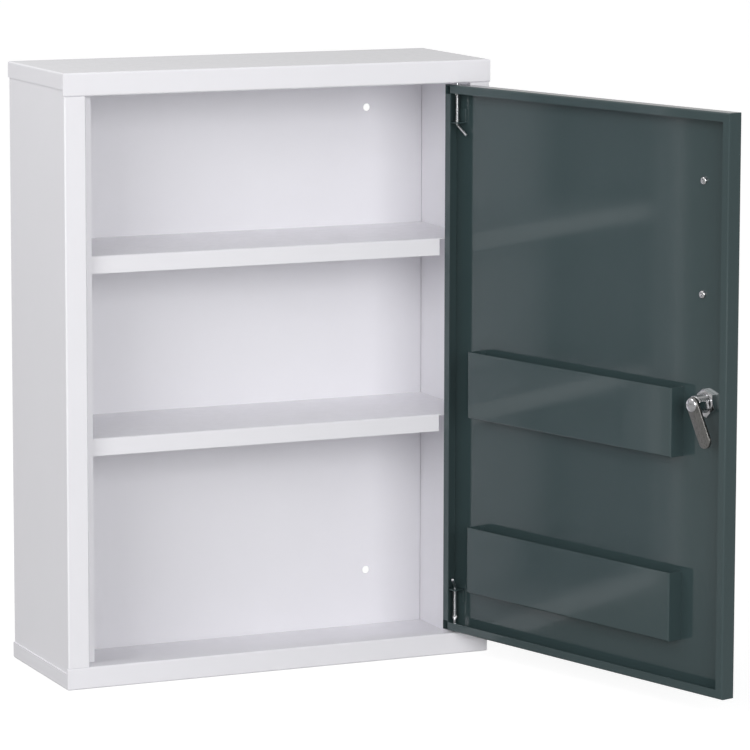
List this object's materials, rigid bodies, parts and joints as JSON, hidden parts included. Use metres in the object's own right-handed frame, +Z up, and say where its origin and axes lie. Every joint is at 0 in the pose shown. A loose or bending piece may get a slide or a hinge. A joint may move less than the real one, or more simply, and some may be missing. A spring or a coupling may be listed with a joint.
{
  "type": "lockable wall cabinet",
  "caption": "Wall-mounted folded-steel medicine cabinet with shelves, a hinged door with pockets, sprung hinge pins, a pull handle and a cam lock",
  "frame": {"origin": "centre of the four wall holes, on the rear face of the back panel", "axes": "+X to the right seen from the front, -Y out of the wall towards the user, +Z up"},
  "size_m": [0.5104, 0.4985, 0.56],
  "materials": {
    "cabinet_paint": "glossy white powder coat",
    "door_paint": "glossy dark grey powder coat",
    "zinc_wire": "bright zinc",
    "handle_metal": "satin chrome",
    "lock_chrome": "polished chrome",
    "cam_steel": "satin nickel",
    "lock_brass": "machined brass"
  },
  "bodies": {
    "cabinet": {"top_cap": "cabinet_paint", "bottom_cap": "cabinet_paint", "left_side_panel": "cabinet_paint", "right_side_panel": "cabinet_paint", "back_panel": "cabinet_paint", "upper_shelf": "cabinet_paint", "lower_shelf": "cabinet_paint"},
    "door": {"door_panel": "door_paint", "upper_door_pocket": "door_paint", "lower_door_pocket": "door_paint", "upper_hinge_bracket": "door_paint", "lower_hinge_bracket": "door_paint", "pull_handle": "handle_metal", "handle_screws": "lock_chrome", "lock_housing": "lock_chrome", "lock_nut": "lock_chrome", "upper_pin_spring": "zinc_wire", "lower_pin_spring": "zinc_wire"},
    "cam_assembly": {"lock_plug": "lock_brass", "lock_wafers": "lock_brass", "lock_cam": "cam_steel", "cam_screw": "lock_chrome"},
    "upper_pin": {"upper_hinge_pin": "zinc_wire"},
    "lower_pin": {"lower_hinge_pin": "zinc_wire"}
  },
  "joints": [
    {"name": "door_hinge", "type": "hinge", "parent": "cabinet", "child": "door", "pos_m": [0.1794, -0.142, -0.0005], "axis": [0, 0, 1], "range_deg": [-105.67, 3.5]},
    {"name": "lock_turn", "type": "hinge", "parent": "door", "child": "cam_assembly", "pos_m": [0.27551, -0.45871, -0.0005], "axis": [-0.9628, -0.2701, 0], "range_deg": [-27.4, 62.6]},
    {"name": "upper_pin_slide", "type": "slide", "parent": "door", "child": "upper_pin", "axis": [0, 0, -1], "range_m": [0, 0.0065], "stiffness_N_per_m": 300, "springref_m": -0.008, "deforming": ["upper_pin_spring"]},
    {"name": "lower_pin_slide", "type": "slide", "parent": "door", "child": "lower_pin", "axis": [0, 0, 1], "range_m": [0, 0.0065], "stiffness_N_per_m": 300, "springref_m": -0.008, "deforming": ["lower_pin_spring"]}
  ]
}
